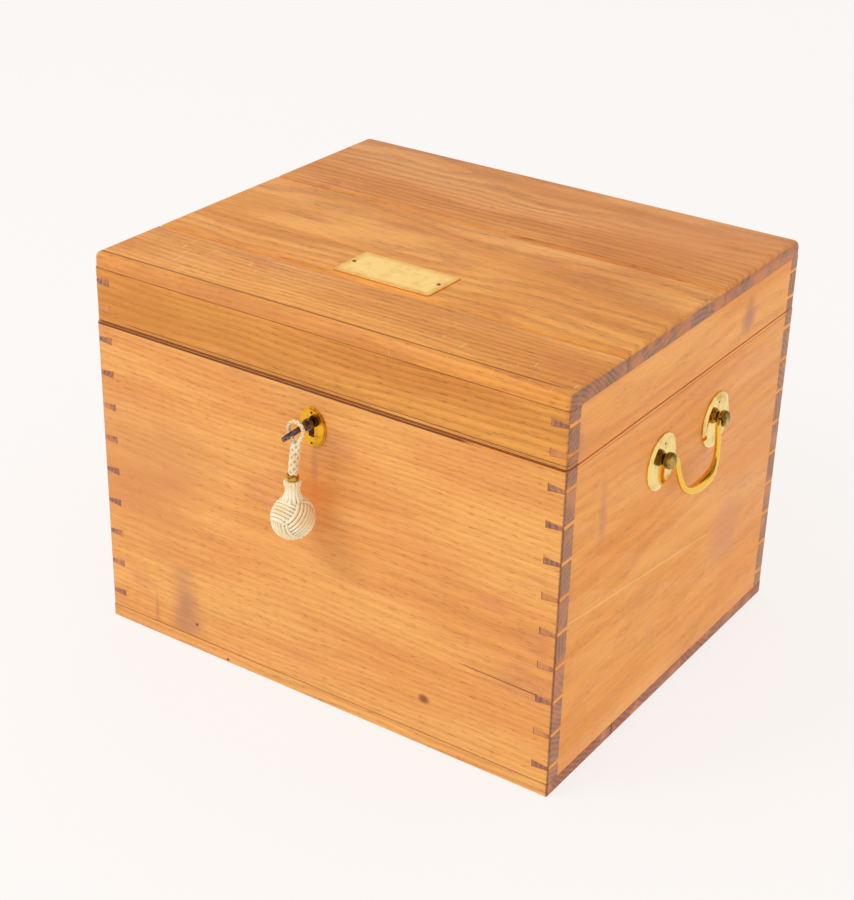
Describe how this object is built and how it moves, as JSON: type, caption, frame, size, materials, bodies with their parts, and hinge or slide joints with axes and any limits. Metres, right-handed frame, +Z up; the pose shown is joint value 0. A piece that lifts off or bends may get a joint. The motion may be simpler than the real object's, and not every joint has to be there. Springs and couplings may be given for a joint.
{
  "type": "marine chronometer",
  "caption": "Boxed marine chronometer: hinged oak case with bail handles, lock, key and cord fob around a gimballed brass bowl with dial, hands and movement.",
  "frame": {"origin": "centre of the underside of the base, between the feet of the four corners", "axes": "+Z up, the front with the keyhole faces -Y, the side handles are at -X and +X"},
  "size_m": [0.3258, 0.2918, 0.2318],
  "materials": {
    "oak": "waxed old oak, honey brown",
    "oak_lid": "waxed old oak, redder on the top",
    "brass": "polished, lacquered, lightly toned",
    "plate_brass": "pale satin brass",
    "steel": "dark oiled steel",
    "blued_steel": "heat blued, polished",
    "silvered": "silvered brass, matt",
    "glass": "clear",
    "cotton": "cream cotton cord, braided"
  },
  "bodies": {
    "case": {"base_front_board": "oak", "base_middle_board": "oak", "base_rear_board": "oak", "case_back": "oak", "case_front": "oak", "case_left_side": "oak", "case_right_side": "oak", "escutcheon": "brass", "gimbal_bearer_left": "oak", "gimbal_bearer_right": "oak", "gimbal_bracket_left": "brass", "gimbal_bracket_right": "brass", "handle_post_left_front": "brass", "handle_post_left_rear": "brass", "handle_post_right_front": "brass", "handle_post_right_rear": "brass", "handle_rose_left_front": "brass", "handle_rose_left_rear": "brass", "handle_rose_right_front": "brass", "handle_rose_right_rear": "brass", "hinge_case_leaf_left": "brass", "hinge_case_leaf_right": "brass", "hinge_pin_left": "steel", "hinge_pin_right": "steel", "lock_case": "brass"},
    "lid": {"hinge_lid_leaf_left": "brass", "hinge_lid_leaf_right": "brass", "lid_back": "oak", "lid_front": "oak", "lid_left_side": "oak", "lid_right_side": "oak", "lid_top_front_board": "oak_lid", "lid_top_middle_board": "oak_lid", "lid_top_rear_board": "oak_lid", "link_plate": "brass", "name_plate": "plate_brass"},
    "key": {"key": "steel"},
    "fob": {"fob_cord": "cotton", "fob_knot": "cotton"},
    "bolt": {"lock_bolt": "steel"},
    "bail_left": {"handle_bail_left": "brass"},
    "bail_right": {"handle_bail_right": "brass"},
    "gimbal_ring": {"bowl_pivot_screw_front": "steel", "bowl_pivot_screw_rear": "steel", "gimbal_ring": "brass"},
    "bowl": {"bezel": "brass", "bezel_glass": "glass", "bowl": "brass", "dial": "silvered", "pillar_plate": "brass", "top_plate": "brass"},
    "minute_train": {"centre_wheel": "brass", "minute_hand": "blued_steel"},
    "hour_train": {"hour_hand": "blued_steel"},
    "seconds_train": {"seconds_hand": "blued_steel", "seconds_wheel": "brass"},
    "barrel": {"mainspring_barrel": "brass"},
    "fusee": {"fusee": "brass"},
    "balance": {"balance": "brass"},
    "up_down": {"up_down_hand": "blued_steel"}
  },
  "joints": [
    {"name": "lid_hinge", "type": "hinge", "parent": "case", "child": "lid", "pos_m": [0, 0.1302, 0.1904], "axis": [-1, 0, 0], "range_deg": [0, 100]},
    {"name": "key_turn", "type": "hinge", "parent": "case", "child": "key", "pos_m": [-0.0008, -0.127, 0.1726], "axis": [0, 1, 0], "range_deg": [-12, 72]},
    {"name": "fob_swing", "type": "hinge", "parent": "key", "child": "fob", "pos_m": [0.00286, -0.14637, 0.17601], "axis": [0, 1, 0], "range_deg": [-75, 15]},
    {"name": "bolt_slide", "type": "slide", "parent": "case", "child": "bolt", "axis": [1, 0, 0], "range_m": [-0.00101, 0.00603]},
    {"name": "bail_left_swing", "type": "hinge", "parent": "case", "child": "bail_left", "pos_m": [-0.1551, 0.0037, 0.157], "axis": [0, 1, 0], "range_deg": [-10, 110]},
    {"name": "bail_right_swing", "type": "hinge", "parent": "case", "child": "bail_right", "pos_m": [0.1551, 0.0037, 0.157], "axis": [0, -1, 0], "range_deg": [-10, 110]},
    {"name": "gimbal_ring_tilt", "type": "hinge", "parent": "case", "child": "gimbal_ring", "pos_m": [0, 0, 0.15], "axis": [1, 0, 0], "range_deg": [-25, 25]},
    {"name": "bowl_tilt", "type": "hinge", "parent": "gimbal_ring", "child": "bowl", "pos_m": [0, 0, 0.15], "axis": [0, 1, 0], "range_deg": [-25, 25]},
    {"name": "minute_arbor", "type": "hinge", "parent": "bowl", "child": "minute_train", "pos_m": [0, 0, 0.15], "axis": [0, 0, -1], "continuous": true},
    {"name": "hour_arbor", "type": "hinge", "parent": "bowl", "child": "hour_train", "pos_m": [0, 0, 0.15], "axis": [0, 0, -1], "continuous": true},
    {"name": "seconds_arbor", "type": "hinge", "parent": "bowl", "child": "seconds_train", "pos_m": [0, -0.02806, 0.15], "axis": [0, 0, -1], "continuous": true},
    {"name": "barrel_arbor", "type": "hinge", "parent": "bowl", "child": "barrel", "pos_m": [-0.02208, -0.00782, 0.15], "axis": [0, 0, -1], "continuous": true},
    {"name": "fusee_arbor", "type": "hinge", "parent": "bowl", "child": "fusee", "pos_m": [0.01978, -0.01012, 0.15], "axis": [0, 0, -1], "continuous": true},
    {"name": "balance_staff", "type": "hinge", "parent": "bowl", "child": "balance", "pos_m": [0, 0.02438, 0.15], "axis": [0, 0, 1], "range_deg": [-135, 135]},
    {"name": "up_down_arbor", "type": "hinge", "parent": "bowl", "child": "up_down", "pos_m": [0, 0.02852, 0.15], "axis": [0, 0, -1], "range_deg": [-30, 90]}
  ],
  "couplings": [
    {"joint": "key_turn", "follows": "bolt_slide", "rad_per_m": 208.33},
    {"joint": "fob_swing", "follows": "bolt_slide", "rad_per_m": -208.33},
    {"joint": "hour_arbor", "follows": "minute_arbor", "ratio": 0.083333},
    {"joint": "seconds_arbor", "follows": "minute_arbor", "ratio": 60},
    {"joint": "fusee_arbor", "follows": "minute_arbor", "ratio": -0.13889},
    {"joint": "barrel_arbor", "follows": "minute_arbor", "ratio": -0.125}
  ]
}
